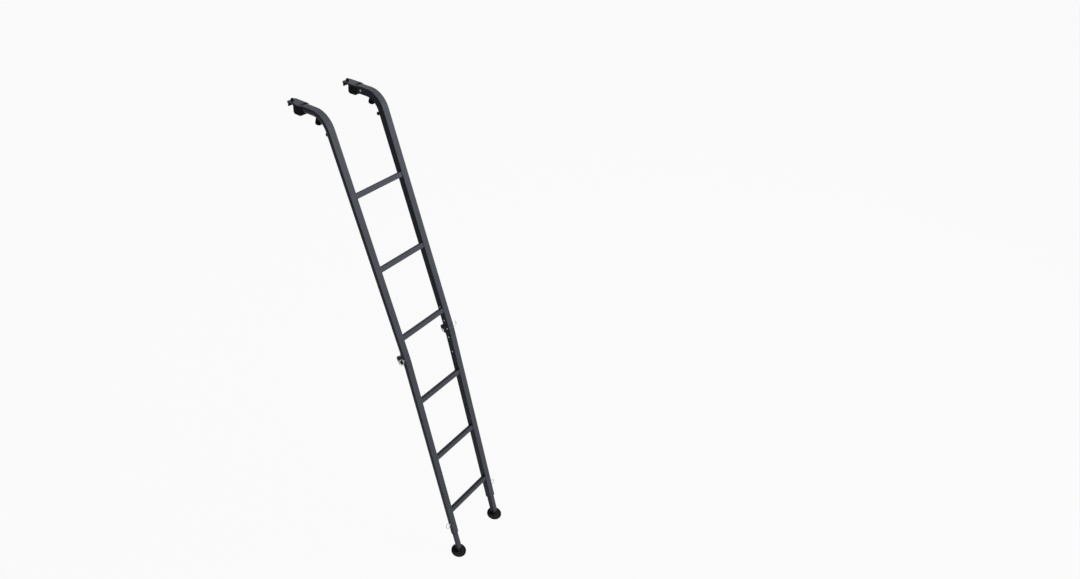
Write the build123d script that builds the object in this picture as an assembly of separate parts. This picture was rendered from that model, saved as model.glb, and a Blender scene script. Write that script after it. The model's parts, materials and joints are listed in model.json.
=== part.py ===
from build123d import *
import os
from math import cos, radians, sin

# A folding access ladder that hangs from its hooks and stands on swivel feet.
# Millimetres and degrees. X runs along the rungs, Y back, Z up. The origin is
# on the seat of the left hook, so the left rail is at X = 0.

# Driving dimensions of the frame
WIDTH = 314.0           # over the outer faces of the rails
RAIL_WIDTH = 32.0       # flat front face
RAIL_DEPTH = 30.0
RAIL_WALL = 2.0
RAIL_CORNER = 2.5
RAIL_ROUND = 21.0       # outer back edge, for the grip
INSIDE_CORNER = 1.2     # least radius inside a tube or on a plug
UPPER_LEAN = 23.3       # from upright
LOWER_LEAN = 19.3
UPPER_STRAIGHT = 961.0  # hinge pin to the start of the bend
BEND_RADIUS = 85.0      # at the middle of the tube
ARM_LENGTH = 46.0       # level tube after the bend
LOWER_LENGTH = 940.0    # hinge pin to the open lower end of a rail
FIT = 0.1               # slack of a plug or bush on each side

# Rungs
RUNG_PITCH = 305.0
RUNG_ABOVE_PIN = 97.0   # middle of the third rung
RUNG_BELOW_PIN = 210.0  # middle of the fourth rung
RUNG_DEPTH = 20.0
RUNG_HEIGHT = 20.0
RUNG_SETBACK = 2.5      # behind the front faces of the rails
RUNG_WALL = 2.2
RUNG_CORNER = 2.2
TREAD_RIBS = 7
TREAD_GROOVE = 1.0      # depth of the grooves between the ribs

# Hinge
PIN_BACK = 24.5         # hinge pin behind the middle of the rail
HINGE_PIN_R = 4.0
HINGE_HEAD_R = 7.0
HINGE_HEAD = 3.0
RUNNING_FIT = 0.05
KNUCKLE_GAP = 0.4
BLOCK = 23.0            # height of a hinge block that shows
BLOCK_GAP = 0.25        # from the hinge pin's level to a block's face
HINGE_PLUG = 100.0      # inside a rail
LUG_CORNER = 6.0        # outer corner of a hinge lug

# Hook
PLATE_WIDTH = 42.0
PLATE = 6.0
PLATE_CORNER = 5.0
SEAT_LENGTH = 26.0      # between the pad and the lip
SEAT_FROM_BEND = 110.4  # middle of the seat behind the end of the bend
LIP = 5.0
LIP_DROP = 14.0
SLOT_WIDTH = 30.0       # opening in the plate, behind the end of the arm
SLOT_LENGTH = 17.0
SLOT_CORNER = 3.0
HOOK_PLUG = 30.0
SHOULDER = 6.0
PAD_WIDTH = 36.0
PAD_HEIGHT = 34.0       # below the seat
PAD_STEP = 1.0          # step in the plate that locates the pad
PAD_GROOVE = 2.0

# Rubber buffers
BUFFER_R = 12.5
BUFFER_HEIGHT = 22.0
BUFFER_ANGLE = 108.0    # round the bend, from level behind it
BUFFER_FLUTES = 12
BUFFER_IN = 3.0         # from the middle of the rail, on its flat back
STOP_R = 7.0
STOP_HEIGHT = 17.0
STOP_DROP = 9.0         # below the start of the bend
STOP_IN = 7.0           # from the middle of the rail

# Legs
BUSH_WALL = 1.25
BUSH_LENGTH = 46.0
BUSH_FLANGE = 3.0
LEG_SLACK = 0.15
LEG_WALL = 2.0
LEG_LENGTH = 290.0
LEG_END = 14.0          # foot pin to the end of the leg tube
LEG_HOLE_R = 3.2
LEG_HOLE_PITCH = 30.0
LEG_OUT = 112.0         # open end of a rail to the foot pin

# Feet
FOOT_R = 35.0
SOLE = 8.0
RIM = 5.0
RIM_BEVEL = 2.0
SOLE_BEVEL = 1.0
DISH = 2.5              # depth of the sole's top inside its rim
FOOT_PIN_R = 3.0
FOOT_PIN_HEIGHT = 14.0
FOOT_HEAD_R = 4.6
FOOT_HEAD = 2.0
TONGUE = 8.0
EAR = 5.0
EAR_R = 7.0

# Pull pins
HINGE_LOCK_Z = 9.0      # above the hinge pin
LEG_PIN_RISE = 62.0     # above the open end of a rail
PULL_PIN_R = 3.0
PULL_FORWARD = 6.0      # ahead of the middle of the rail, on its flat side
BARREL_R = 5.0
BARREL = 4.0            # hexagon head that the ring goes through
RING_R = 12.5
RING_WIRE_R = 1.2

# Worked out from the above
TILT = radians(UPPER_LEAN)
BEND_ANGLE = 90.0 - UPPER_LEAN
BEND_Y = BEND_RADIUS - PIN_BACK
ARM_Z = PLATE - RAIL_DEPTH / 2  # the plate is flush with the top of the arm
PIN_Y = -(BEND_Y * cos(TILT) + UPPER_STRAIGHT * sin(TILT)) - SEAT_FROM_BEND
PIN_Z = BEND_Y * sin(TILT) - UPPER_STRAIGHT * cos(TILT) - BEND_RADIUS + ARM_Z
ARM_END_Y = ARM_LENGTH - SEAT_FROM_BEND
HALF = RAIL_WIDTH / 2
BACK_FACE = RAIL_DEPTH / 2 - PIN_BACK
KNUCKLE_R = -BACK_FACE - KNUCKLE_GAP
KNUCKLE_HALF = RAIL_WIDTH / 6  # half of the middle knuckle
PLUG_INSET = RAIL_WALL + FIT
BUSH_INSET = PLUG_INSET + BUSH_WALL
LEG_INSET = BUSH_INSET + LEG_SLACK
FOOT_REACH = LOWER_LENGTH + LEG_OUT
LEG_PIN_DROP = LOWER_LENGTH - LEG_PIN_RISE
MIDDLE = Plane.YZ.offset((WIDTH - RAIL_WIDTH) / 2)


def section_place(lean):
    """Place of a section's own axes: origin at the hinge pin, Z up along the rail."""
    up = (0, sin(radians(lean)), cos(radians(lean)))
    return Plane(origin=(0, PIN_Y, PIN_Z), x_dir=(1, 0, 0), z_dir=up).location


UPPER = section_place(UPPER_LEAN)
LOWER = section_place(LOWER_LEAN)
RAIL_AXIS = Pos(0, -PIN_BACK, 0)
FOOT = Pos((LOWER * Pos(0, -PIN_BACK, -FOOT_REACH)).position)


def save(name, solid):
    solid.label = name
    export_step(solid, f"parts/{name}.step")


def save_pair(name, left):
    save(f"left_{name}", left)
    save(f"right_{name}", mirror(left, about=MIDDLE))


def rail_outline(inset=0.0, back=1):
    """Section of a left rail, inset all round, with its back towards +Y or, for the arm, -Y."""
    wide = HALF - inset
    deep = back * (RAIL_DEPTH / 2 - inset)
    outline = make_face(Polyline((-wide, -deep), (wide, -deep), (wide, deep), (-wide, deep), close=True))
    outline = fillet(outline.vertices().sort_by_distance((-wide, deep))[0], RAIL_ROUND - inset)
    sharp = [v for corner in ((-wide, -deep), (wide, -deep), (wide, deep))
             for v in outline.vertices().sort_by_distance(corner)[:1]]
    return fillet(sharp, max(RAIL_CORNER - inset, INSIDE_CORNER))


def tube_outline(inset, wall):
    return rail_outline(inset) - rail_outline(inset + wall)


def block(x, y, z):
    """Box from three (low, high) pairs."""
    size = [high - low for low, high in (x, y, z)]
    return Pos(*((low + high) / 2 for low, high in (x, y, z))) * Box(*size)


def bar_x(radius, low, high, y=0.0, z=0.0):
    return Pos((low + high) / 2, y, z) * Rot(0, 90, 0) * Cylinder(radius, high - low)


def slab_x(face, low, high):
    """Face drawn in Y and Z, as thick as the span in X."""
    return Pos(low, 0, 0) * extrude(Plane.YZ * face, high - low)


# Frame


def upper_rail():
    straight = Line((-PIN_BACK, BLOCK), (-PIN_BACK, UPPER_STRAIGHT))
    bend = JernArc(straight @ 1, straight % 1, BEND_RADIUS, -BEND_ANGLE)
    arm = Line(bend @ 1, bend @ 1 + ARM_LENGTH * (bend % 1))
    path = Plane.YZ * (straight + bend + arm)
    section = Pos(0, -PIN_BACK, BLOCK) * tube_outline(0, RAIL_WALL)
    return UPPER * sweep(section, path=path)


def lower_rail():
    tube = Pos(0, 0, -LOWER_LENGTH) * extrude(tube_outline(0, RAIL_WALL), LOWER_LENGTH - BLOCK)
    return LOWER * RAIL_AXIS * (tube - bar_x(PULL_PIN_R, -RAIL_WIDTH, 0, -PULL_FORWARD, -LEG_PIN_DROP))


def rung(number):
    """Hollow bar with lengthwise ribs on its top, between the rails."""
    outline = RectangleRounded(RUNG_DEPTH, RUNG_HEIGHT, RUNG_CORNER)
    outline -= RectangleRounded(RUNG_DEPTH - 2 * RUNG_WALL, RUNG_HEIGHT - 2 * RUNG_WALL, RUNG_CORNER / 2)
    pitch = (RUNG_DEPTH - 2 * RUNG_CORNER) / TREAD_RIBS
    for groove in range(TREAD_RIBS):
        middle = (groove - (TREAD_RIBS - 1) / 2) * pitch
        outline -= Pos(middle, RUNG_HEIGHT / 2) * Rectangle(pitch / 2, 2 * TREAD_GROOVE)
    bar = slab_x(outline, HALF, WIDTH - RAIL_WIDTH - HALF)
    bar = RAIL_AXIS * Pos(0, RUNG_SETBACK + (RUNG_DEPTH - RAIL_DEPTH) / 2, 0) * bar
    if number <= 3:
        return UPPER * Pos(0, 0, RUNG_ABOVE_PIN + (3 - number) * RUNG_PITCH) * bar
    return LOWER * Pos(0, 0, -RUNG_BELOW_PIN - (number - 4) * RUNG_PITCH) * bar


# Hooks and rubber


def hook():
    """Plate that lies over an edge, with a lip behind it and a plug in the arm."""
    wide = PLATE_WIDTH / 2
    far = SEAT_LENGTH / 2 + LIP
    low = ARM_END_Y + SHOULDER
    plug = Plane.XZ * Pos(0, ARM_Z) * rail_outline(PLUG_INSET, back=-1)
    shoulder = Plane.XZ * Pos(0, ARM_Z) * rail_outline(back=-1)
    shape = extrude(plug, HOOK_PLUG, dir=(0, -1, 0)) + extrude(shoulder, SHOULDER, dir=(0, 1, 0))
    shape = Pos(0, ARM_END_Y, 0) * shape
    outline = make_face(Polyline(
        (-HALF, ARM_END_Y + SHOULDER / 6), (HALF, ARM_END_Y + SHOULDER / 6), (wide, low), (wide, far),
        (-wide, far), (-wide, low), close=True,
    ))
    outline = fillet(outline.vertices().group_by(Axis.Y)[1:], PLATE_CORNER)
    slot = Pos(0, low + SLOT_LENGTH / 2) * RectangleRounded(SLOT_WIDTH, SLOT_LENGTH, SLOT_CORNER)
    plate = extrude(outline - slot, PLATE)
    plate -= block((-PLATE_WIDTH, PLATE_WIDTH), (low, -SEAT_LENGTH / 2), (0, PAD_STEP))
    lip = block((-wide + PLATE_CORNER, wide - PLATE_CORNER), (far - LIP, far), (-LIP_DROP, PLATE))
    lip = fillet(lip.edges().group_by(Axis.Z)[0].filter_by(Axis.X), LIP / 3)
    return shape + plate + lip


def hook_pad():
    """Rubber block under the plate, ribbed where it bears on the edge's face."""
    low, high = ARM_END_Y + SHOULDER, -SEAT_LENGTH / 2
    tall = PAD_HEIGHT + PAD_STEP
    outline = Pos((low + high) / 2, PAD_STEP - tall / 2) * Rectangle(high - low, tall)
    outline = chamfer(outline.vertices().group_by(Axis.Y)[0], PAD_HEIGHT / 5)
    for groove in range(1, 4):
        place = Pos(high, -PAD_HEIGHT * groove / 5)
        outline -= place * Rectangle(2 * PAD_GROOVE, PAD_GROOVE)
    return slab_x(outline, -PAD_WIDTH / 2, PAD_WIDTH / 2)


def bend_buffer():
    """Fluted rubber knob that sits against the inside of the bend."""
    inside = BEND_RADIUS - RAIL_DEPTH / 2
    knob = extrude(Circle(BUFFER_R), 2 * BUFFER_HEIGHT)
    knob = fillet(knob.edges().group_by(Axis.Z)[0], BUFFER_R / 5)
    flutes = Sketch() + PolarLocations(BUFFER_R, BUFFER_FLUTES) * Circle(BUFFER_R / 9)
    knob = Pos(BUFFER_IN, 0, inside - BUFFER_HEIGHT) * (knob - extrude(flutes, 2 * BUFFER_HEIGHT))
    knob -= revolve(Plane.XZ * Pos(0, BEND_RADIUS) * rail_outline(back=-1), Axis.X)
    return Pos(0, -SEAT_FROM_BEND, ARM_Z - BEND_RADIUS) * Rot(BUFFER_ANGLE - 90, 0, 0) * knob


def fold_stop():
    """Stud on the back of the rail, shaped to it."""
    stud = extrude(Circle(STOP_R), STOP_HEIGHT + RAIL_CORNER)
    stud = fillet(stud.edges().group_by(Axis.Z)[-1], STOP_R / 2)
    stud = Pos(STOP_IN, RAIL_DEPTH / 2 - RAIL_CORNER, 0) * Rot(-90, 0, 0) * stud
    stud -= Pos(0, 0, -2 * STOP_R) * extrude(rail_outline(), 4 * STOP_R)
    return UPPER * RAIL_AXIS * Pos(0, 0, UPPER_STRAIGHT - STOP_DROP) * stud


# Hinge


def hinge_block(ears):
    """Upper hinge block, or turned over the lower one. Ears are (low, high) spans in X."""
    plug = Pos(0, 0, BLOCK) * extrude(rail_outline(PLUG_INSET), HINGE_PLUG)
    body = Pos(0, 0, BLOCK_GAP) * extrude(rail_outline(), BLOCK - BLOCK_GAP)
    shape = RAIL_AXIS * (plug + body)
    root = BACK_FACE - RAIL_ROUND
    lug = Pos((root + KNUCKLE_R) / 2, (BLOCK_GAP + BLOCK) / 2)
    lug *= Rectangle(KNUCKLE_R - root, BLOCK - BLOCK_GAP)
    lug = fillet(lug.vertices().sort_by_distance((KNUCKLE_R, BLOCK))[0], LUG_CORNER)
    for low, high in ears:
        shape += slab_x(lug + Circle(KNUCKLE_R), low, high)
    return shape


def upper_hinge_block():
    inner = KNUCKLE_HALF + KNUCKLE_GAP
    shape = hinge_block([(-HALF, -inner), (inner, HALF)])
    shape -= bar_x(HINGE_PIN_R, -RAIL_WIDTH, RAIL_WIDTH)
    return UPPER * (shape - bar_x(PULL_PIN_R, -RAIL_WIDTH, 0, -PIN_BACK - PULL_FORWARD, HINGE_LOCK_Z))


def lower_hinge_block():
    shape = hinge_block([(-KNUCKLE_HALF, KNUCKLE_HALF)])
    shape -= bar_x(HINGE_PIN_R + RUNNING_FIT, -RAIL_WIDTH, RAIL_WIDTH)
    return LOWER * mirror(shape, about=Plane.XY)


def headed_pin(radius, reach, head_r, head):
    """Pin along X to the reach on both sides, with a chamfered head at each end."""
    cap = extrude(Circle(head_r), head)
    cap = chamfer(cap.edges().group_by(Axis.Z)[-1], head / 2)
    pin = bar_x(radius, -reach, reach)
    for turn in (90, -90):
        pin += Rot(0, turn, 0) * Pos(0, 0, reach) * cap
    return pin


def hinge_pin():
    return UPPER * headed_pin(HINGE_PIN_R, HALF, HINGE_HEAD_R, HINGE_HEAD)


# Pull pins


def pull_pin(nose):
    """Pin along X with a hexagon head and a pull ring outside the face X = 0."""
    barrel = extrude(RegularPolygon(BARREL_R, 6), BARREL)
    barrel = chamfer(barrel.edges().group_by(Axis.Z)[-1], BARREL / 8)
    pin = bar_x(PULL_PIN_R, -BARREL / 2, nose) + Rot(0, -90, 0) * barrel
    ring = Rot(90, 0, 0) * Torus(RING_R, RING_WIRE_R)
    return pin + Pos(-BARREL / 2 - RING_R, 0, 0) * ring


def hinge_lock():
    return UPPER * RAIL_AXIS * Pos(-HALF, -PULL_FORWARD, HINGE_LOCK_Z) * pull_pin(HALF)


def leg_pin():
    return LOWER * RAIL_AXIS * Pos(-HALF, -PULL_FORWARD, -LEG_PIN_DROP) * pull_pin(RAIL_WALL)


# Legs and feet


def leg_bush():
    inside = rail_outline(BUSH_INSET)
    sleeve = extrude(rail_outline(PLUG_INSET) - inside, BUSH_LENGTH)
    flange = Pos(0, 0, -BUSH_FLANGE) * extrude(rail_outline() - inside, BUSH_FLANGE)
    return LOWER * RAIL_AXIS * Pos(0, 0, -LOWER_LENGTH) * (sleeve + flange)


def leg():
    tube = Pos(0, 0, LEG_END - FOOT_REACH) * extrude(tube_outline(LEG_INSET, LEG_WALL), LEG_LENGTH)
    for hole in range(-2, 4):
        tube -= bar_x(LEG_HOLE_R, -RAIL_WIDTH, 0, -PULL_FORWARD, -LEG_PIN_DROP + hole * LEG_HOLE_PITCH)
    return LOWER * RAIL_AXIS * tube


def leg_end():
    """Plug in the leg, with a collar and the tongue that carries the foot pin."""
    plug = extrude(rail_outline(LEG_INSET + LEG_WALL + FIT), LEG_LENGTH / 10)
    collar = Pos(0, 0, -BUSH_FLANGE) * extrude(rail_outline(LEG_INSET), BUSH_FLANGE)
    reach = EAR_R - TONGUE / 8
    tongue = Circle(reach) + Pos(0, LEG_END / 2) * Rectangle(2 * reach, LEG_END)
    shape = slab_x(tongue, -TONGUE / 2, TONGUE / 2) + Pos(0, 0, LEG_END) * (plug + collar)
    shape -= bar_x(FOOT_PIN_R + RUNNING_FIT, -RAIL_WIDTH, RAIL_WIDTH)
    return LOWER * RAIL_AXIS * Pos(0, 0, -FOOT_REACH) * shape


def foot():
    """Round dished foot with two ears for its pin."""
    floor = SOLE - DISH
    outline = make_face(Polyline(
        (0, 0), (FOOT_R - SOLE_BEVEL, 0), (FOOT_R, SOLE_BEVEL), (FOOT_R, SOLE - RIM_BEVEL),
        (FOOT_R - RIM_BEVEL, SOLE), (FOOT_R - RIM, SOLE), (FOOT_R - RIM - DISH, floor), (0, floor),
        close=True,
    ))
    shape = Pos(0, 0, -FOOT_PIN_HEIGHT) * revolve(Plane.XZ * outline, Axis.Z)
    base = floor - FOOT_PIN_HEIGHT
    ear = Circle(EAR_R) + Pos(0, base / 2) * Rectangle(2 * EAR_R, -base)
    ear &= Pos(0, base + 2 * EAR_R) * Rectangle(4 * EAR_R, 4 * EAR_R)
    gap = TONGUE / 2 + KNUCKLE_GAP
    for low in (-gap - EAR, gap):
        shape += slab_x(ear, low, low + EAR)
    return FOOT * (shape - bar_x(FOOT_PIN_R, -FOOT_R, FOOT_R))


def foot_pin():
    return FOOT * headed_pin(FOOT_PIN_R, TONGUE / 2 + KNUCKLE_GAP + EAR, FOOT_HEAD_R, FOOT_HEAD)


os.makedirs("parts", exist_ok=True)

save_pair("upper_rail", upper_rail())
save_pair("hook", hook())
save_pair("hook_pad", hook_pad())
save_pair("bend_buffer", bend_buffer())
save_pair("fold_stop", fold_stop())
save_pair("upper_hinge_block", upper_hinge_block())
save_pair("hinge_pin", hinge_pin())
save_pair("hinge_lock", hinge_lock())
save_pair("lower_hinge_block", lower_hinge_block())
save_pair("lower_rail", lower_rail())
save_pair("leg_bush", leg_bush())
save_pair("leg_pin", leg_pin())
save_pair("leg", leg())
save_pair("leg_end", leg_end())
save_pair("foot", foot())
save_pair("foot_pin", foot_pin())
for number in range(1, 7):
    save(f"rung_{number}", rung(number))
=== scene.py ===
import json
import math
import bpy
import bmesh
from mathutils import Matrix, Vector


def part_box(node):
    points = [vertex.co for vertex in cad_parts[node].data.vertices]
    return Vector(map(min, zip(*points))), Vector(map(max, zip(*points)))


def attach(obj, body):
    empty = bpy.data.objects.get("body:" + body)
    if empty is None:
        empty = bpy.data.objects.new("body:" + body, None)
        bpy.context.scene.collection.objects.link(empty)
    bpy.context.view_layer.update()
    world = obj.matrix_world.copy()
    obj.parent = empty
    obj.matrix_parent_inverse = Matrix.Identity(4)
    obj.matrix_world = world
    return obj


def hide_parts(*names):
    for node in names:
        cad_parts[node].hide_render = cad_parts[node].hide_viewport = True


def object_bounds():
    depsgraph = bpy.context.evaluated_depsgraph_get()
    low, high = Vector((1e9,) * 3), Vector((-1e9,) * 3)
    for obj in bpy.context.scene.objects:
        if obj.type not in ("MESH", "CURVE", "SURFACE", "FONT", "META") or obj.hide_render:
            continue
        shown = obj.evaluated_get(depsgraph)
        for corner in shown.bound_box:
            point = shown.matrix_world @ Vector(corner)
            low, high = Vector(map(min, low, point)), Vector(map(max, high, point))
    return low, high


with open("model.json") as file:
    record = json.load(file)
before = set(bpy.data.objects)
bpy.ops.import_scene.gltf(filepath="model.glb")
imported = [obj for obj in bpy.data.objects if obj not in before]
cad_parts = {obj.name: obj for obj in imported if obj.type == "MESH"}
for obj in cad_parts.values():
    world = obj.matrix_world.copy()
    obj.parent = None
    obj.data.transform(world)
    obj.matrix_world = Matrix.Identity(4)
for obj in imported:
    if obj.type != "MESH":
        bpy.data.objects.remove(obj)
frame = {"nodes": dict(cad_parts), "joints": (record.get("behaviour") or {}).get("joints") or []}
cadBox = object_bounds()
mm = 0.001
right = Vector((1, 0, 0))
print("frame loaded:", len(frame["nodes"]), "pieces")


# where the sections lie, read from the frame

def middle(node):
    low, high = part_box(node)
    return (low + high) / 2


def upAlong(lowRung, highRung):
    return (middle(highRung) - middle(lowRung)).normalized()


upperUp = upAlong("rung_3", "rung_1")
lowerUp = upAlong("rung_6", "rung_4")
hingePin = Vector(next(j for j in frame["joints"] if j["name"] == "fold")["pos_m"])
sections = {
    "upper_section": {"up": upperUp, "rungs": ("rung_1", "rung_2", "rung_3"), "rail": "upper_rail"},
    "lower_section": {"up": lowerUp, "rungs": ("rung_4", "rung_5", "rung_6"), "rail": "lower_rail"},
}


def alongRail(section, above):
    # point on the rungs' middle line, so far above the hinge pin
    up = sections[section]["up"]
    start = middle(sections[section]["rungs"][0])
    start = Vector((0, start.y, start.z))
    pin = Vector((0, hingePin.y, hingePin.z))
    return start + up * ((pin - start).dot(up) + above)


# shader groups

def newGroup(name, inputs, outputs):
    tree = bpy.data.node_groups.new(name, "ShaderNodeTree")
    for label, kind, value in inputs:
        socket = tree.interface.new_socket(name=label, in_out="INPUT", socket_type=kind)
        socket.default_value = value
    for label, kind in outputs:
        tree.interface.new_socket(name=label, in_out="OUTPUT", socket_type=kind)
    return tree, tree.nodes.new("NodeGroupInput"), tree.nodes.new("NodeGroupOutput")


def addNode(tree, kind, **settings):
    node = tree.nodes.new(kind)
    for key, value in settings.items():
        if key in node.bl_rna.properties:
            setattr(node, key, value)
        else:
            node.inputs[key.replace("_", " ")].default_value = value
    return node


def math2(tree, operation, first, second):
    node = tree.nodes.new("ShaderNodeMath")
    node.operation = operation
    for slot, value in zip(node.inputs, (first, second)):
        if isinstance(value, (int, float)):
            slot.default_value = value
        else:
            tree.links.new(value, slot)
    return node.outputs[0]


def makeCoatGrain():
    # fine orange peel of a sprayed coat, with slow drifts of tone
    tree, into, out = newGroup(
        "coatGrain",
        [("Grain Size", "NodeSocketFloat", 900.0), ("Drift Size", "NodeSocketFloat", 9.0)],
        [("Height", "NodeSocketFloat"), ("Drift", "NodeSocketFloat")],
    )
    where = addNode(tree, "ShaderNodeTexCoord").outputs["Object"]
    grain = addNode(tree, "ShaderNodeTexNoise", Detail=3.0, Roughness=0.55)
    drift = addNode(tree, "ShaderNodeTexNoise", Detail=4.0, Roughness=0.6)
    for node, size in ((grain, "Grain Size"), (drift, "Drift Size")):
        tree.links.new(where, node.inputs["Vector"])
        tree.links.new(into.outputs[size], node.inputs["Scale"])
    tree.links.new(grain.outputs["Fac"], out.inputs["Height"])
    tree.links.new(drift.outputs["Fac"], out.inputs["Drift"])
    return tree


def makeEdgeWearAndHighlight():
    # where a surface turns sharply, broken up by noise; edges are made lighter there, partly as rubbed paint
    # and partly as a painted highlight on the rounded corners
    tree, into, out = newGroup(
        "edgeWear",
        [
            ("Width", "NodeSocketFloat", 0.0012),
            ("Break Up", "NodeSocketFloat", 160.0),
            ("Amount", "NodeSocketFloat", 0.5),
        ],
        [("Mask", "NodeSocketFloat")],
    )
    bevel = addNode(tree, "ShaderNodeBevel", samples=6)
    tree.links.new(into.outputs["Width"], bevel.inputs["Radius"])
    flat = addNode(tree, "ShaderNodeNewGeometry")
    turn = addNode(tree, "ShaderNodeVectorMath", operation="DOT_PRODUCT")
    tree.links.new(bevel.outputs["Normal"], turn.inputs[0])
    tree.links.new(flat.outputs["Normal"], turn.inputs[1])
    bend = math2(tree, "SUBTRACT", 1.0, turn.outputs["Value"])
    sharp = addNode(tree, "ShaderNodeMapRange", From_Min=0.02, From_Max=0.25)
    tree.links.new(bend, sharp.inputs["Value"])
    noise = addNode(tree, "ShaderNodeTexNoise", Detail=5.0, Roughness=0.7)
    tree.links.new(addNode(tree, "ShaderNodeTexCoord").outputs["Object"], noise.inputs["Vector"])
    tree.links.new(into.outputs["Break Up"], noise.inputs["Scale"])
    broken = math2(tree, "MULTIPLY", sharp.outputs["Result"], noise.outputs["Fac"])
    tree.links.new(math2(tree, "MULTIPLY", broken, into.outputs["Amount"]), out.inputs["Mask"])
    return tree


def facingOf(tree, way):
    # how far a surface faces a way, in the piece's own axes
    turn = addNode(
        tree, "ShaderNodeVectorTransform",
        vector_type="NORMAL", convert_from="WORLD", convert_to="OBJECT",
    )
    tree.links.new(addNode(tree, "ShaderNodeNewGeometry").outputs["Normal"], turn.inputs[0])
    facing = addNode(tree, "ShaderNodeVectorMath", operation="DOT_PRODUCT")
    facing.inputs[1].default_value = way
    tree.links.new(turn.outputs[0], facing.inputs[0])
    return facing.outputs["Value"]


def makeTopDust():
    # a thin film on what faces up
    tree, into, out = newGroup(
        "topDust",
        [("Patch Size", "NodeSocketFloat", 40.0), ("Amount", "NodeSocketFloat", 0.2)],
        [("Mask", "NodeSocketFloat")],
    )
    noise = addNode(tree, "ShaderNodeTexNoise", Detail=6.0, Roughness=0.65)
    tree.links.new(addNode(tree, "ShaderNodeTexCoord").outputs["Object"], noise.inputs["Vector"])
    tree.links.new(into.outputs["Patch Size"], noise.inputs["Scale"])
    upward = math2(tree, "MAXIMUM", facingOf(tree, (0, 0, 1)), 0.0)
    patchy = math2(tree, "MULTIPLY", upward, noise.outputs["Fac"])
    tree.links.new(math2(tree, "MULTIPLY", patchy, into.outputs["Amount"]), out.inputs["Mask"])
    return tree


def makeTreadGripAndShade():
    # the ribbed top of a rung painted darker, partly as painted shade in its grooves and partly as a dark
    # anti-slip finish, with a little wear
    tree, into, out = newGroup(
        "treadTop",
        [("Patch Size", "NodeSocketFloat", 25.0), ("Amount", "NodeSocketFloat", 1.0)],
        [("Mask", "NodeSocketFloat")],
    )
    noise = addNode(tree, "ShaderNodeTexNoise", Detail=5.0, Roughness=0.6)
    tree.links.new(addNode(tree, "ShaderNodeTexCoord").outputs["Object"], noise.inputs["Vector"])
    tree.links.new(into.outputs["Patch Size"], noise.inputs["Scale"])
    top = addNode(tree, "ShaderNodeMapRange", interpolation_type="SMOOTHSTEP", From_Min=0.75, From_Max=0.92)
    tree.links.new(facingOf(tree, (upperUp + lowerUp).normalized()), top.inputs["Value"])
    worn = math2(tree, "SUBTRACT", 1.1, math2(tree, "MULTIPLY", noise.outputs["Fac"], 0.4))
    mask = math2(tree, "MULTIPLY", math2(tree, "MULTIPLY", top.outputs["Result"], worn), into.outputs["Amount"])
    tree.links.new(mask, out.inputs["Mask"])
    return tree


coatGrain = makeCoatGrain()
edgeWear = makeEdgeWearAndHighlight()
topDust = makeTopDust()
treadTop = makeTreadGripAndShade()
print("shader groups built")


# finishes

def newFinish(name):
    material = bpy.data.materials.new(name)
    material.use_nodes = True
    tree = material.node_tree
    return material, tree, tree.nodes["Principled BSDF"]


def useGroup(tree, group, **values):
    node = tree.nodes.new("ShaderNodeGroup")
    node.node_tree = group
    for key, value in values.items():
        node.inputs[key.replace("_", " ")].default_value = value
    return node


def mixColour(tree, mask, first, second):
    mix = tree.nodes.new("ShaderNodeMix")
    mix.data_type = "RGBA"
    tree.links.new(mask, mix.inputs["Factor"])
    ends = [socket for socket in mix.inputs if socket.type == "RGBA"]
    for colour, value in zip(ends, (first, second)):
        if isinstance(value, tuple):
            colour.default_value = (*value, 1)
        else:
            tree.links.new(value, colour)
    return next(socket for socket in mix.outputs if socket.type == "RGBA")


def spread(tree, value, low, high):
    node = tree.nodes.new("ShaderNodeMapRange")
    node.inputs["To Min"].default_value = low
    node.inputs["To Max"].default_value = high
    tree.links.new(value, node.inputs["Value"])
    return node.outputs["Result"]


def addBump(tree, shader, height, distance, strength):
    bump = tree.nodes.new("ShaderNodeBump")
    bump.inputs["Distance"].default_value = distance
    bump.inputs["Strength"].default_value = strength
    tree.links.new(height, bump.inputs["Height"])
    tree.links.new(bump.outputs["Normal"], shader.inputs["Normal"])


charcoalCoat = {
    "dark": (0.066, 0.072, 0.088),
    "light": (0.090, 0.097, 0.116),
    # lighter edge tone: rubbed paint, brightened further as a painted edge highlight
    "rubbedAndHighlight": (0.20, 0.21, 0.225),
    "roughness": (0.40, 0.52),
    "grainSize": 1100.0,
    "grainDepth": 0.00012,
    "wear": 0.35,
    "dust": 0.05,
    "dustTone": (0.45, 0.44, 0.42),
    "specular": 0.08,
    "tread": 0.0,                         # how much of the darker tread, painted groove shade and dark anti-slip finish, a top gets
}


def coatFinish(name, coat, **changes):
    coat = {**coat, **changes}
    material, tree, shader = newFinish(name)
    grain = useGroup(tree, coatGrain, Grain_Size=coat["grainSize"])
    tone = mixColour(tree, grain.outputs["Drift"], coat["dark"], coat["light"])
    # edges lightened: rubbed paint and a painted edge highlight
    wear = useGroup(tree, edgeWear, Amount=coat["wear"])
    tone = mixColour(tree, wear.outputs["Mask"], tone, coat["rubbedAndHighlight"])
    dust = useGroup(tree, topDust, Amount=coat["dust"])
    tone = mixColour(tree, dust.outputs["Mask"], tone, coat["dustTone"])
    # darker rung top: painted shade in the grooves and a dark anti-slip finish
    if coat["tread"]:
        tread = useGroup(tree, treadTop, Amount=coat["tread"])
        tone = mixColour(tree, tread.outputs["Mask"], tone, coat["treadTone"])
    tree.links.new(tone, shader.inputs["Base Color"])
    tree.links.new(spread(tree, grain.outputs["Drift"], *coat["roughness"]), shader.inputs["Roughness"])
    shader.inputs["Specular IOR Level"].default_value = coat["specular"]
    addBump(tree, shader, grain.outputs["Height"], coat["grainDepth"], 0.35)
    return material


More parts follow.
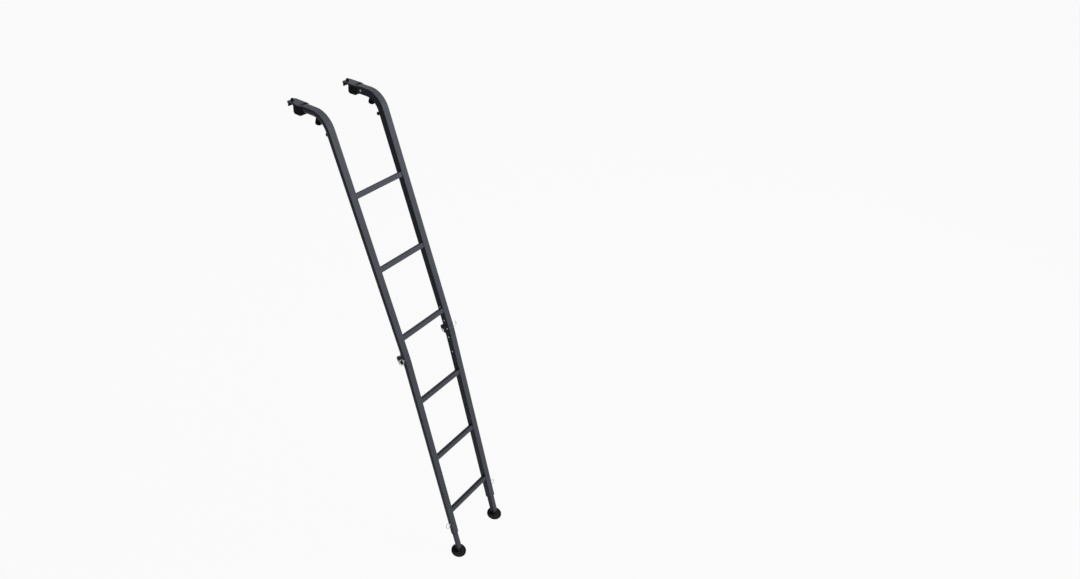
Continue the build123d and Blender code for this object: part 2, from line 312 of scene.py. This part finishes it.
blackRubber = {
    "dark": (0.011, 0.011, 0.012),
    "light": (0.022, 0.022, 0.024),
    "roughness": (0.62, 0.82),
    "grainSize": 600.0,
    "grainDepth": 0.0003,
    "dust": 0.04,
    "dustTone": (0.30, 0.29, 0.27),
    "specular": 0.08,
}


def rubberFinish(name, rubber, **changes):
    rubber = {**rubber, **changes}
    material, tree, shader = newFinish(name)
    grain = useGroup(tree, coatGrain, Grain_Size=rubber["grainSize"], Drift_Size=60.0)
    tone = mixColour(tree, grain.outputs["Drift"], rubber["dark"], rubber["light"])
    dust = useGroup(tree, topDust, Amount=rubber["dust"], Patch_Size=90.0)
    tone = mixColour(tree, dust.outputs["Mask"], tone, rubber["dustTone"])
    tree.links.new(tone, shader.inputs["Base Color"])
    tree.links.new(spread(tree, grain.outputs["Drift"], *rubber["roughness"]), shader.inputs["Roughness"])
    shader.inputs["Specular IOR Level"].default_value = rubber["specular"]
    addBump(tree, shader, grain.outputs["Height"], rubber["grainDepth"], 0.4)
    return material


brightZinc = {
    "dark": (0.30, 0.31, 0.32),
    "light": (0.46, 0.47, 0.48),
    "roughness": (0.22, 0.40),
    "brushSize": 700.0,
}


def zincFinish(name, zinc, **changes):
    zinc = {**zinc, **changes}
    material, tree, shader = newFinish(name)
    grain = useGroup(tree, coatGrain, Grain_Size=zinc["brushSize"], Drift_Size=240.0)
    tone = mixColour(tree, grain.outputs["Drift"], zinc["dark"], zinc["light"])
    tree.links.new(tone, shader.inputs["Base Color"])
    shader.inputs["Metallic"].default_value = 1.0
    tree.links.new(spread(tree, grain.outputs["Height"], *zinc["roughness"]), shader.inputs["Roughness"])
    addBump(tree, shader, grain.outputs["Height"], 0.00005, 0.2)
    return material


railCoat = coatFinish("charcoalCoat", charcoalCoat)
castCoat = coatFinish("charcoalCasting", charcoalCoat, grainSize=520.0, grainDepth=0.0003, wear=0.5)
padRubber = rubberFinish("blackRubber", blackRubber)
bushNylon = rubberFinish("blackNylon", blackRubber, roughness=(0.38, 0.5), grainDepth=0.0001)
zinc = zincFinish("brightZinc", brightZinc)
blackSteel = zincFinish(
    "blackSteel", brightZinc,
    dark=(0.020, 0.020, 0.022), light=(0.035, 0.035, 0.038), roughness=(0.42, 0.58),
)
# rungs: tops darkened by painted groove shade and a dark anti-slip finish
rungCoat = coatFinish("charcoalTread", charcoalCoat, tread=1.0, treadTone=(0.030, 0.032, 0.038))
finishOf = {
    "upper_rail": railCoat, "lower_rail": railCoat, "rung": rungCoat, "leg": railCoat, "hook": railCoat,
    "upper_hinge_block": castCoat, "lower_hinge_block": castCoat,
    "hook_pad": padRubber, "bend_buffer": padRubber, "fold_stop": padRubber, "foot": padRubber,
    "leg_bush": bushNylon, "leg_end": bushNylon,
    "hinge_pin": zinc, "hinge_lock": zinc, "leg_pin": zinc, "foot_pin": blackSteel,
}
for name, node in frame["nodes"].items():
    kind = "rung" if name.startswith("rung") else name.split("_", 1)[1]
    node.data.materials.clear()
    node.data.materials.append(finishOf[kind])
print("finishes on", len(finishOf), "kinds of piece")


# geometry trees for what repeats or follows a path

def newTree(name, inputs):
    tree = bpy.data.node_groups.new(name, "GeometryNodeTree")
    for label, kind, value in inputs:
        socket = tree.interface.new_socket(name=label, in_out="INPUT", socket_type=kind)
        if value is not None:
            socket.default_value = value
    tree.interface.new_socket(name="Result", in_out="OUTPUT", socket_type="NodeSocketGeometry")
    return tree, tree.nodes.new("NodeGroupInput").outputs, tree.nodes.new("NodeGroupOutput")


def link(tree, source, node, label):
    tree.links.new(source, node.inputs[label])
    return node


def endTree(tree, geometry, finish, out):
    real = link(tree, geometry, tree.nodes.new("GeometryNodeRealizeInstances"), "Geometry")
    painted = link(tree, real.outputs[0], tree.nodes.new("GeometryNodeSetMaterial"), "Geometry")
    tree.links.new(finish, painted.inputs["Material"])
    tree.links.new(painted.outputs[0], out.inputs["Result"])


def makeFastenerTree():
    # one head on each point, turned to the way the point faces
    tree, into, out = newTree("fastenerRow", [
        ("Places", "NodeSocketGeometry", None), ("Head", "NodeSocketObject", None),
        ("Turn Seed", "NodeSocketInt", 4), ("Finish", "NodeSocketMaterial", None),
    ])
    facing = addNode(tree, "GeometryNodeInputNamedAttribute", data_type="FLOAT_VECTOR", Name="facing")
    aim = addNode(tree, "FunctionNodeAlignRotationToVector", axis="Z")
    tree.links.new(facing.outputs["Attribute"], aim.inputs["Vector"])
    turn = addNode(tree, "FunctionNodeRandomValue", data_type="FLOAT")
    turn.inputs[3].default_value = math.tau
    tree.links.new(into["Turn Seed"], turn.inputs["Seed"])
    spin = tree.nodes.new("FunctionNodeAxisAngleToRotation")
    tree.links.new(turn.outputs[1], spin.inputs["Angle"])
    both = addNode(tree, "FunctionNodeRotateRotation", rotation_space="LOCAL")
    tree.links.new(aim.outputs[0], both.inputs["Rotation"])
    tree.links.new(spin.outputs[0], both.inputs["Rotate By"])
    head = link(tree, into["Head"], tree.nodes.new("GeometryNodeObjectInfo"), "Object")
    row = link(tree, into["Places"], tree.nodes.new("GeometryNodeInstanceOnPoints"), "Points")
    tree.links.new(head.outputs["Geometry"], row.inputs["Instance"])
    tree.links.new(both.outputs[0], row.inputs["Rotation"])
    endTree(tree, row.outputs[0], into["Finish"], out)
    return tree


def makeWeldTree():
    # a bead along the edges, with the ripples of a hand weld
    tree, into, out = newTree("weldBead", [
        ("Seam", "NodeSocketGeometry", None), ("Bead Radius", "NodeSocketFloat", 0.0016),
        ("Ripple", "NodeSocketFloat", 0.0022), ("Ripple Depth", "NodeSocketFloat", 0.12),
        ("Finish", "NodeSocketMaterial", None),
    ])
    seam = link(tree, into["Seam"], tree.nodes.new("GeometryNodeMeshToCurve"), "Mesh")
    fine = addNode(tree, "GeometryNodeResampleCurve", mode="LENGTH", Length=0.0006)
    tree.links.new(seam.outputs[0], fine.inputs["Curve"])
    along = tree.nodes.new("GeometryNodeSplineParameter").outputs["Length"]
    wave = math2(tree, "MULTIPLY", math2(tree, "DIVIDE", along, into["Ripple"]), math.tau)
    wave = math2(tree, "MULTIPLY", math2(tree, "SINE", wave, 0.0), into["Ripple Depth"])
    profile = addNode(tree, "GeometryNodeCurvePrimitiveCircle", Resolution=10)
    tree.links.new(into["Bead Radius"], profile.inputs["Radius"])
    bead = link(tree, fine.outputs[0], tree.nodes.new("GeometryNodeCurveToMesh"), "Curve")
    tree.links.new(profile.outputs[0], bead.inputs["Profile Curve"])
    tree.links.new(math2(tree, "ADD", wave, 1.0), bead.inputs["Scale"])
    endTree(tree, bead.outputs[0], into["Finish"], out)
    return tree


def makeRingTree():
    # wire wound into a split ring
    tree, into, out = newTree("splitRing", [
        ("Ring Radius", "NodeSocketFloat", 0.0125), ("Wire Radius", "NodeSocketFloat", 0.0008),
        ("Turns", "NodeSocketFloat", 1.9), ("Finish", "NodeSocketMaterial", None),
    ])
    wire = addNode(tree, "GeometryNodeCurveSpiral", Resolution=48)
    tree.links.new(into["Turns"], wire.inputs["Rotations"])
    for label in ("Start Radius", "End Radius"):
        tree.links.new(into["Ring Radius"], wire.inputs[label])
    pitch = math2(tree, "MULTIPLY", into["Wire Radius"], 2.02)
    tree.links.new(math2(tree, "MULTIPLY", pitch, into["Turns"]), wire.inputs["Height"])
    profile = addNode(tree, "GeometryNodeCurvePrimitiveCircle", Resolution=10)
    tree.links.new(into["Wire Radius"], profile.inputs["Radius"])
    ring = addNode(tree, "GeometryNodeCurveToMesh", Fill_Caps=True)
    tree.links.new(wire.outputs[0], ring.inputs["Curve"])
    tree.links.new(profile.outputs[0], ring.inputs["Profile Curve"])
    endTree(tree, ring.outputs[0], into["Finish"], out)
    return tree


def grow(tree, mesh, values):
    # runs a tree on a mesh and gives back a plain mesh
    item = bpy.data.objects.new(tree.name, mesh)
    bpy.context.collection.objects.link(item)
    modifier = item.modifiers.new(tree.name, "NODES")
    modifier.node_group = tree
    for socket in tree.interface.items_tree:
        if socket.in_out == "INPUT" and socket.name in values:
            modifier[socket.identifier] = values[socket.name]
    graph = bpy.context.evaluated_depsgraph_get()
    result = bpy.data.meshes.new_from_object(item.evaluated_get(graph), depsgraph=graph)
    item.modifiers.remove(modifier)
    bpy.data.objects.remove(item)
    return result


fastenerRow = makeFastenerTree()
weldBead = makeWeldTree()
splitRing = makeRingTree()
print("geometry trees built")


# small pieces

sharpFrom = math.radians(38)              # edges that turn more stay crisp


def circleLoop(radius, height, count=24):
    turns = [math.tau * i / count for i in range(count)]
    return [(radius * math.cos(t), radius * math.sin(t), height) for t in turns]


def lobeLoop(radius, height, lobes, depth, count=48):
    points = []
    for i in range(count):
        t = math.tau * i / count
        reach = radius * (1 + depth * math.cos(lobes * t))
        points.append((reach * math.cos(t), reach * math.sin(t), height))
    return points


def hexLoop(acrossHalf, height, count=24):
    sixth = math.tau / 6
    points = []
    for i in range(count):
        t = math.tau * i / count
        reach = acrossHalf / math.cos((t % sixth) - sixth / 2)
        points.append((reach * math.cos(t), reach * math.sin(t), height))
    return points


def skinLoops(name, loops, scale=mm):
    # rings of points joined one after the other, closed at both ends
    build = bmesh.new()
    rings = [[build.verts.new(Vector(point) * scale) for point in loop] for loop in loops]
    for first, second in zip(rings, rings[1:]):
        for i in range(len(first)):
            j = (i + 1) % len(first)
            build.faces.new((first[i], first[j], second[j], second[i]))
    build.faces.new(rings[0][::-1])
    build.faces.new(rings[-1])
    bmesh.ops.recalc_face_normals(build, faces=build.faces[:])
    mesh = bpy.data.meshes.new(name)
    build.to_mesh(mesh)
    build.free()
    return mesh


def addPiece(name, mesh, finish, body):
    mesh.materials.clear()
    mesh.materials.append(finish)
    piece = bpy.data.objects.new(name, mesh)
    bpy.context.collection.objects.link(piece)
    mesh.polygons.foreach_set("use_smooth", [True] * len(mesh.polygons))
    mesh.set_sharp_from_angle(angle=sharpFrom)
    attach(piece, body)
    return piece


def placePoints(name, places):
    # points with the way each one faces
    mesh = bpy.data.meshes.new(name)
    mesh.from_pydata([tuple(point) for point, facing in places], [], [])
    ways = mesh.attributes.new("facing", "FLOAT_VECTOR", "POINT")
    for entry, (point, facing) in zip(ways.data, places):
        entry.vector = facing
    return mesh


def backOf(section):
    return sections[section]["up"].cross(right)


def fastenerPiece(name, head, places, finish, body):
    holder = bpy.data.objects.new(head.name, head)
    result = grow(fastenerRow, placePoints(name, places), {"Head": holder, "Finish": finish})
    bpy.data.objects.remove(holder)
    return addPiece(name, result, finish, body)


railInner = {"left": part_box("rung_1")[0].x, "right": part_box("rung_1")[1].x}
inward = {"left": right, "right": -right}

rivets = {
    "upper_section": (0.048, 0.113),      # along the rail from the hinge pin
    "lower_section": (-0.033, -0.107),
    "behind": 0.0025,                     # from the middle of a rung
    "loops": [(3.4, -0.4), (3.4, 0.3), (3.1, 0.85), (2.4, 1.3), (1.5, 1.5), (1.25, 1.45), (1.1, 0.8)],
}
rivetHead = skinLoops("rivetHead", [circleLoop(r, z) for r, z in rivets["loops"]])
for section in sections:
    places = []
    for above in rivets[section]:
        for side in inward:
            point = alongRail(section, above) + backOf(section) * rivets["behind"]
            point.x = railInner[side]
            places.append((point, inward[side]))
    fastenerPiece(section + "_rivets", rivetHead, places, zinc, section)
print("rivets set beside the hinge")

armScrews = {
    "place": (-0.0807, -0.009),           # Y and Z
    "loops": [(4.2, -0.4), (4.2, 0.9), (3.9, 1.7), (3.2, 2.2), (2.5, 2.4)],
    "socket": (1.5, 2.4, 1.1),            # half across flats, top and floor
}
screwLoops = [circleLoop(r, z) for r, z in armScrews["loops"]]
screwLoops += [hexLoop(armScrews["socket"][0], z) for z in armScrews["socket"][1:]]
screwHead = skinLoops("screwHead", screwLoops)
places = [(Vector((railInner[side], *armScrews["place"])), inward[side]) for side in inward]
fastenerPiece("armScrews", screwHead, places, zinc, "upper_section")

hookKnobs = {
    "aside": -0.010,                      # from the middle of the hook
    "behind": -0.003,
    "shaft": [(3.0, -0.4), (3.0, 2.0), (4.6, 2.4)],
    "grip": [(5.6, 3.0), (6.2, 4.0), (6.2, 10.5), (5.6, 12.0), (4.2, 13.0)],
    "lobes": (7, 0.06),
    "crown": [(2.6, 13.4), (2.2, 13.0)],
}
knobLoops = [circleLoop(r, z, 48) for r, z in hookKnobs["shaft"]]
knobLoops += [lobeLoop(r, z, *hookKnobs["lobes"]) for r, z in hookKnobs["grip"]]
knobLoops += [circleLoop(r, z, 48) for r, z in hookKnobs["crown"]]
knobHead = skinLoops("knobHead", knobLoops)
places = []
for side in inward:
    hook = middle(side + "_hook")
    place = Vector((hook.x + hookKnobs["aside"], hookKnobs["behind"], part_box(side + "_hook")[1].z))
    places.append((place, Vector((0, 0, 1))))
fastenerPiece("hookKnobs", knobHead, places, padRubber, "upper_section")
print("screws and knobs set on the hooks")

rungWelds = {"half": 0.0098, "corner": 0.003, "radius": 0.0017, "ripple": 0.0024, "depth": 0.14}


def seamAround(centre, up, back, half, corner):
    # rounded square round a rung's end
    points = []
    for quarter in range(4):
        for step in range(6):
            turn = math.tau * (quarter + step / 5) / 4
            away = half - corner
            sides = ((1, 1), (-1, 1), (-1, -1), (1, -1))[quarter]
            across = sides[0] * away + corner * math.cos(turn)
            rise = sides[1] * away + corner * math.sin(turn)
            points.append(centre + back * across + up * rise)
    return points


for section, parts in sections.items():
    build = bmesh.new()
    for rung in parts["rungs"]:
        for x in railInner.values():
            centre = Vector((x, middle(rung).y, middle(rung).z))
            loop = seamAround(centre, parts["up"], backOf(section), rungWelds["half"], rungWelds["corner"])
            verts = [build.verts.new(point) for point in loop]
            for i in range(len(verts)):
                build.edges.new((verts[i - 1], verts[i]))
    seams = bpy.data.meshes.new(section + "_seams")
    build.to_mesh(seams)
    build.free()
    beads = grow(weldBead, seams, {"Bead Radius": rungWelds["radius"], "Ripple": rungWelds["ripple"],
                                   "Ripple Depth": rungWelds["depth"], "Finish": railCoat})
    addPiece(section + "_welds", beads, railCoat, section)
print("welds run round the rung ends")

railSeals = {
    "above": 0.023,                       # where a hinge block meets its rail
    "front": 0.0125,                      # from the middle of a rung to the front of a rail
    "wide": 0.032, "deep": 0.030, "corner": 0.0025, "round": 0.021,
    "radius": 0.0007,
}


def railLoop(seal, side):
    # outline of a rail across and back, with its rounded outer back edge
    out = -1 if side == "left" else 1
    wide, deep = seal["wide"] / 2, seal["deep"]
    corners = [(out * wide, 0.0, seal["corner"]), (-out * wide, 0.0, seal["corner"]),
               (-out * wide, deep, seal["corner"]), (out * wide, deep, seal["round"])]
    points = []
    for i, (x, y, radius) in enumerate(corners):
        before, after = Vector(corners[i - 1][:2]), Vector(corners[(i + 1) % 4][:2])
        here = Vector((x, y))
        start, end = (before - here).normalized() * radius, (after - here).normalized() * radius
        count = 4 if radius < 0.01 else 14
        for step in range(count + 1):
            turn = math.pi / 2 * step / count
            points.append(here + start * (1 - math.sin(turn)) + end * (1 - math.cos(turn)))
    return points


for section, parts in sections.items():
    build = bmesh.new()
    way = 1 if section == "upper_section" else -1
    for side in inward:
        base = alongRail(section, way * railSeals["above"]) - backOf(section) * railSeals["front"]
        base.x = middle(side + "_" + parts["rail"]).x
        verts = [build.verts.new(base + right * x + backOf(section) * y) for x, y in railLoop(railSeals, side)]
        for i in range(len(verts)):
            build.edges.new((verts[i - 1], verts[i]))
    path = bpy.data.meshes.new(section + "_sealPath")
    build.to_mesh(path)
    build.free()
    seals = grow(weldBead, path, {"Bead Radius": railSeals["radius"], "Ripple Depth": 0.0, "Finish": bushNylon})
    addPiece(section + "_seals", seals, bushNylon, section)
print("seals laid where the blocks meet the rails")

pinTips = {
    "loops": [(3.0, -0.4), (3.0, 3.2), (2.7, 3.9), (2.0, 4.4), (1.0, 4.6)],
}
tipHead = skinLoops("pinTip", [circleLoop(r, z) for r, z in pinTips["loops"]])
places = []
for side in inward:
    axis = middle(side + "_hinge_lock")
    places.append((Vector((railInner[side], axis.y, axis.z)), inward[side]))
fastenerPiece("lockPinTips", tipHead, places, zinc, "upper_section")
print("tips of the lock pins set")

pullPins = {
    "head": [(4.3, -0.3), (4.3, 3.3), (3.7, 3.9), (2.4, 4.1)],
    "ring": {"Ring Radius": 0.0122, "Wire Radius": 0.00085, "Turns": 1.9},
    "eye": 2.0,                           # height of the ring's hole in the head
    "reach": 0.0282,                      # from the rail to the far side of the ring
    "split": 205.0,                       # where the ring's ends lie, in degrees
    "pins": {"hinge_lock": "upper_section", "leg_pin": "lower_section"},
}


def pullPin(side, kind, body):
    node = side + "_" + kind
    low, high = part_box(node)
    outward = -inward[side]
    up = sections[body]["up"]
    face = low.x + pullPins["reach"] if side == "left" else high.x - pullPins["reach"]
    centre = Vector((face, (low.y + high.y) / 2, (low.z + high.z) / 2))
    turn = Matrix((up.cross(outward), up, outward)).transposed().to_4x4()
    build = bmesh.new()
    loops = [hexLoop(r, z) for r, z in pullPins["head"][:2]]
    loops += [circleLoop(r, z) for r, z in pullPins["head"][2:]]
    build.from_mesh(skinLoops("pullHead", loops))
    wire = grow(splitRing, bpy.data.meshes.new("wire"), {**pullPins["ring"], "Finish": zinc})
    hang = Matrix.Translation((0, 0, pullPins["eye"] * mm + pullPins["ring"]["Ring Radius"]))
    split = Matrix.Rotation(math.radians(pullPins["split"]), 4, "Z")
    wire.transform(hang @ Matrix.Rotation(math.radians(90), 4, "Y") @ split)
    build.from_mesh(wire)
    build.transform(Matrix.Translation(centre) @ turn)
    mesh = bpy.data.meshes.new(node + "_pull")
    build.to_mesh(mesh)
    build.free()
    piece = addPiece(node + "_pull", mesh, zinc, body)
    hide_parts(node)


for kind, body in pullPins["pins"].items():
    for side in inward:
        pullPin(side, kind, body)
print("pull pins with their rings set")


# floor, light and camera

stageLook = {
    "floorSize": 60.0,
    "floor": (0.35, 0.35, 0.35),
    "whiteShare": 0.95,
    "fill": 0.05,
    "key": {"place": (2.6, -3.6, 1.6), "size": 3.0, "power": 165.0},
    "top": {"place": (1.2, -1.6, 3.2), "size": 2.0, "power": 30.0},
}


def seenDirectly(tree):
    path = tree.nodes.new("ShaderNodeLightPath")
    seen = math2(tree, "MAXIMUM", path.outputs["Is Camera Ray"], path.outputs["Is Glossy Ray"])
    return math2(tree, "MAXIMUM", seen, path.outputs["Is Transmission Ray"])


def makeFloor(look):
    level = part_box("left_foot")[0].z
    half = look["floorSize"] / 2
    mesh = bpy.data.meshes.new("floor")
    corners = [(-half, -half, level), (half, -half, level), (half, half, level), (-half, half, level)]
    mesh.from_pydata(corners, [], [(0, 1, 2, 3)])
    floor = bpy.data.objects.new("floor", mesh)
    bpy.context.collection.objects.link(floor)
    material, tree, shader = newFinish("paleFloor")
    shader.inputs["Base Color"].default_value = (*look["floor"], 1)
    shader.inputs["Roughness"].default_value = 0.9
    shader.inputs["Specular IOR Level"].default_value = 0.1
    white = addNode(tree, "ShaderNodeEmission", Strength=1.0)
    mix = tree.nodes.new("ShaderNodeMixShader")
    tree.links.new(math2(tree, "MULTIPLY", seenDirectly(tree), look["whiteShare"]), mix.inputs[0])
    tree.links.new(shader.outputs[0], mix.inputs[1])
    tree.links.new(white.outputs[0], mix.inputs[2])
    tree.links.new(mix.outputs[0], tree.nodes["Material Output"].inputs["Surface"])
    mesh.materials.append(material)


def makeWorld(look):
    world = bpy.data.worlds.new("studio")
    world.use_nodes = True
    tree = world.node_tree
    tree.nodes["Background"].inputs["Color"].default_value = (1, 1, 1, 1)
    strength = spread(tree, seenDirectly(tree), look["fill"], 1.0)
    tree.links.new(strength, tree.nodes["Background"].inputs["Strength"])
    bpy.context.scene.world = world


def makeLamp(name, lamp, target):
    light = bpy.data.lights.new(name, "AREA")
    light.shape = "DISK"
    light.size = lamp["size"]
    light.energy = lamp["power"]
    item = bpy.data.objects.new(name, light)
    item.location = lamp["place"]
    item.rotation_euler = (target - item.location).to_track_quat("-Z", "Y").to_euler()
    bpy.context.collection.objects.link(item)


cameraView = {
    "imageSize": (1080.0, 579.0),
    "focal": 679.94,              # pixels
    "axisAt": (395.63, 311.99),   # where the optical axis meets the picture
    "place": (-1.5425, -1.9554, 0.9549),
    "yaw": -46.89,
    "pitch": -38.37,
    "roll": 0.23,
}


def makeCamera(view):
    wide, tall = view["imageSize"]
    data = bpy.data.cameras.new("photoView")
    data.sensor_fit = "HORIZONTAL"
    data.sensor_width = 36.0
    data.lens = view["focal"] / wide * data.sensor_width
    data.shift_x = (wide / 2 - view["axisAt"][0]) / wide
    data.shift_y = (view["axisAt"][1] - tall / 2) / wide
    data.clip_end = 200.0
    camera = bpy.data.objects.new("photoView", data)
    turn = Matrix.Rotation(math.radians(view["yaw"]), 4, "Z")
    turn = turn @ Matrix.Rotation(math.radians(view["pitch"]), 4, "X")
    turn = turn @ Matrix.Rotation(math.radians(view["roll"]), 4, "Y")
    camera.matrix_world = Matrix.Translation(view["place"]) @ turn @ Matrix.Rotation(math.radians(90), 4, "X")
    bpy.context.collection.objects.link(camera)
    bpy.context.scene.camera = camera


makeFloor(stageLook)
makeWorld(stageLook)
for lampName in ("key", "top"):
    makeLamp(lampName, stageLook[lampName], (Vector(cadBox[0]) + Vector(cadBox[1])) / 2)
makeCamera(cameraView)
bpy.context.scene.view_settings.view_transform = "Standard"
print("stage, lamps and camera set")
